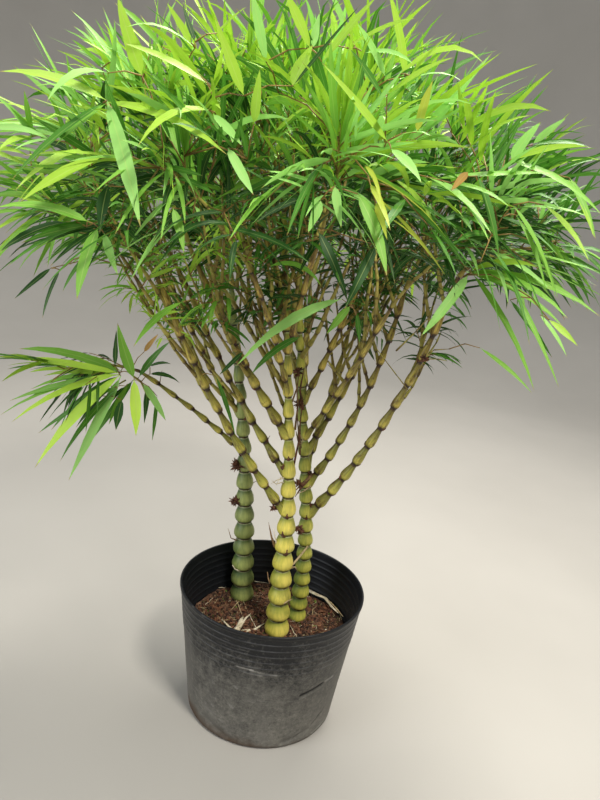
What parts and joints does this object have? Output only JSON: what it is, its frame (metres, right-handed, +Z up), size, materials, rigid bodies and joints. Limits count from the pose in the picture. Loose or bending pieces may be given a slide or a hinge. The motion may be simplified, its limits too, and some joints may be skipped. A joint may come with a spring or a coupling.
{
  "type": "potted bamboo with swollen joints",
  "caption": "Tall clump of bamboo with swollen, pear-shaped joints and a full leafy crown, growing in a round black soft plastic nursery pot.",
  "frame": {"origin": "middle of the pot's flat underside", "axes": "+Z up along the upright plant, +X to the viewer's right, and the viewer of the picture stands on the -Y side"},
  "size_m": [0.9945, 0.8544, 1.268],
  "materials": {
    "pot": "black soft polyethylene with fine moulded rings, dusty and scuffed low down",
    "soil": null,
    "culm_front": "yellow-green live culm, waxy, dark and pale rings at the nodes",
    "culm_right": "mid-green live culm, waxy, dark and pale rings at the nodes",
    "culm_left": "dark green live culm, waxy, dark and pale rings at the nodes",
    "bough": "olive to golden swollen joints with dark brown sheath rings",
    "leaf": "thin live leaves, yellow-green above, duller below, on tan twigs"
  },
  "bodies": {
    "root": {"pot": "pot", "soil": "soil", "culm_front": "culm_front", "culm_right": "culm_right", "culm_left": "culm_left", "bough_left_lowest": "bough", "bough_left_rear": "bough", "bough_left_front": "bough", "bough_left_middle": "bough", "bough_left_upper": "bough", "bough_left_thin": "bough", "bough_left_top": "bough", "bough_right_lowest": "bough", "bough_right_middle": "bough", "bough_right_rear": "bough", "bough_right_top": "bough", "bough_front_left": "bough", "bough_front_middle": "bough", "bough_front_right": "bough", "bough_rear_left": "bough", "bough_rear_middle": "bough", "bough_rear_right": "bough", "leaves_culm_front": "leaf", "leaves_culm_right": "leaf", "leaves_culm_left": "leaf", "leaves_left_lowest": "leaf", "leaves_left_rear": "leaf", "leaves_left_front": "leaf", "leaves_left_middle": "leaf", "leaves_left_upper": "leaf", "leaves_left_thin": "leaf", "leaves_left_top": "leaf", "leaves_right_lowest": "leaf", "leaves_right_middle": "leaf", "leaves_right_rear": "leaf", "leaves_right_top": "leaf", "leaves_front_left": "leaf", "leaves_front_middle": "leaf", "leaves_front_right": "leaf", "leaves_rear_left": "leaf", "leaves_rear_middle": "leaf", "leaves_rear_right": "leaf"}
  },
  "joints": []
}
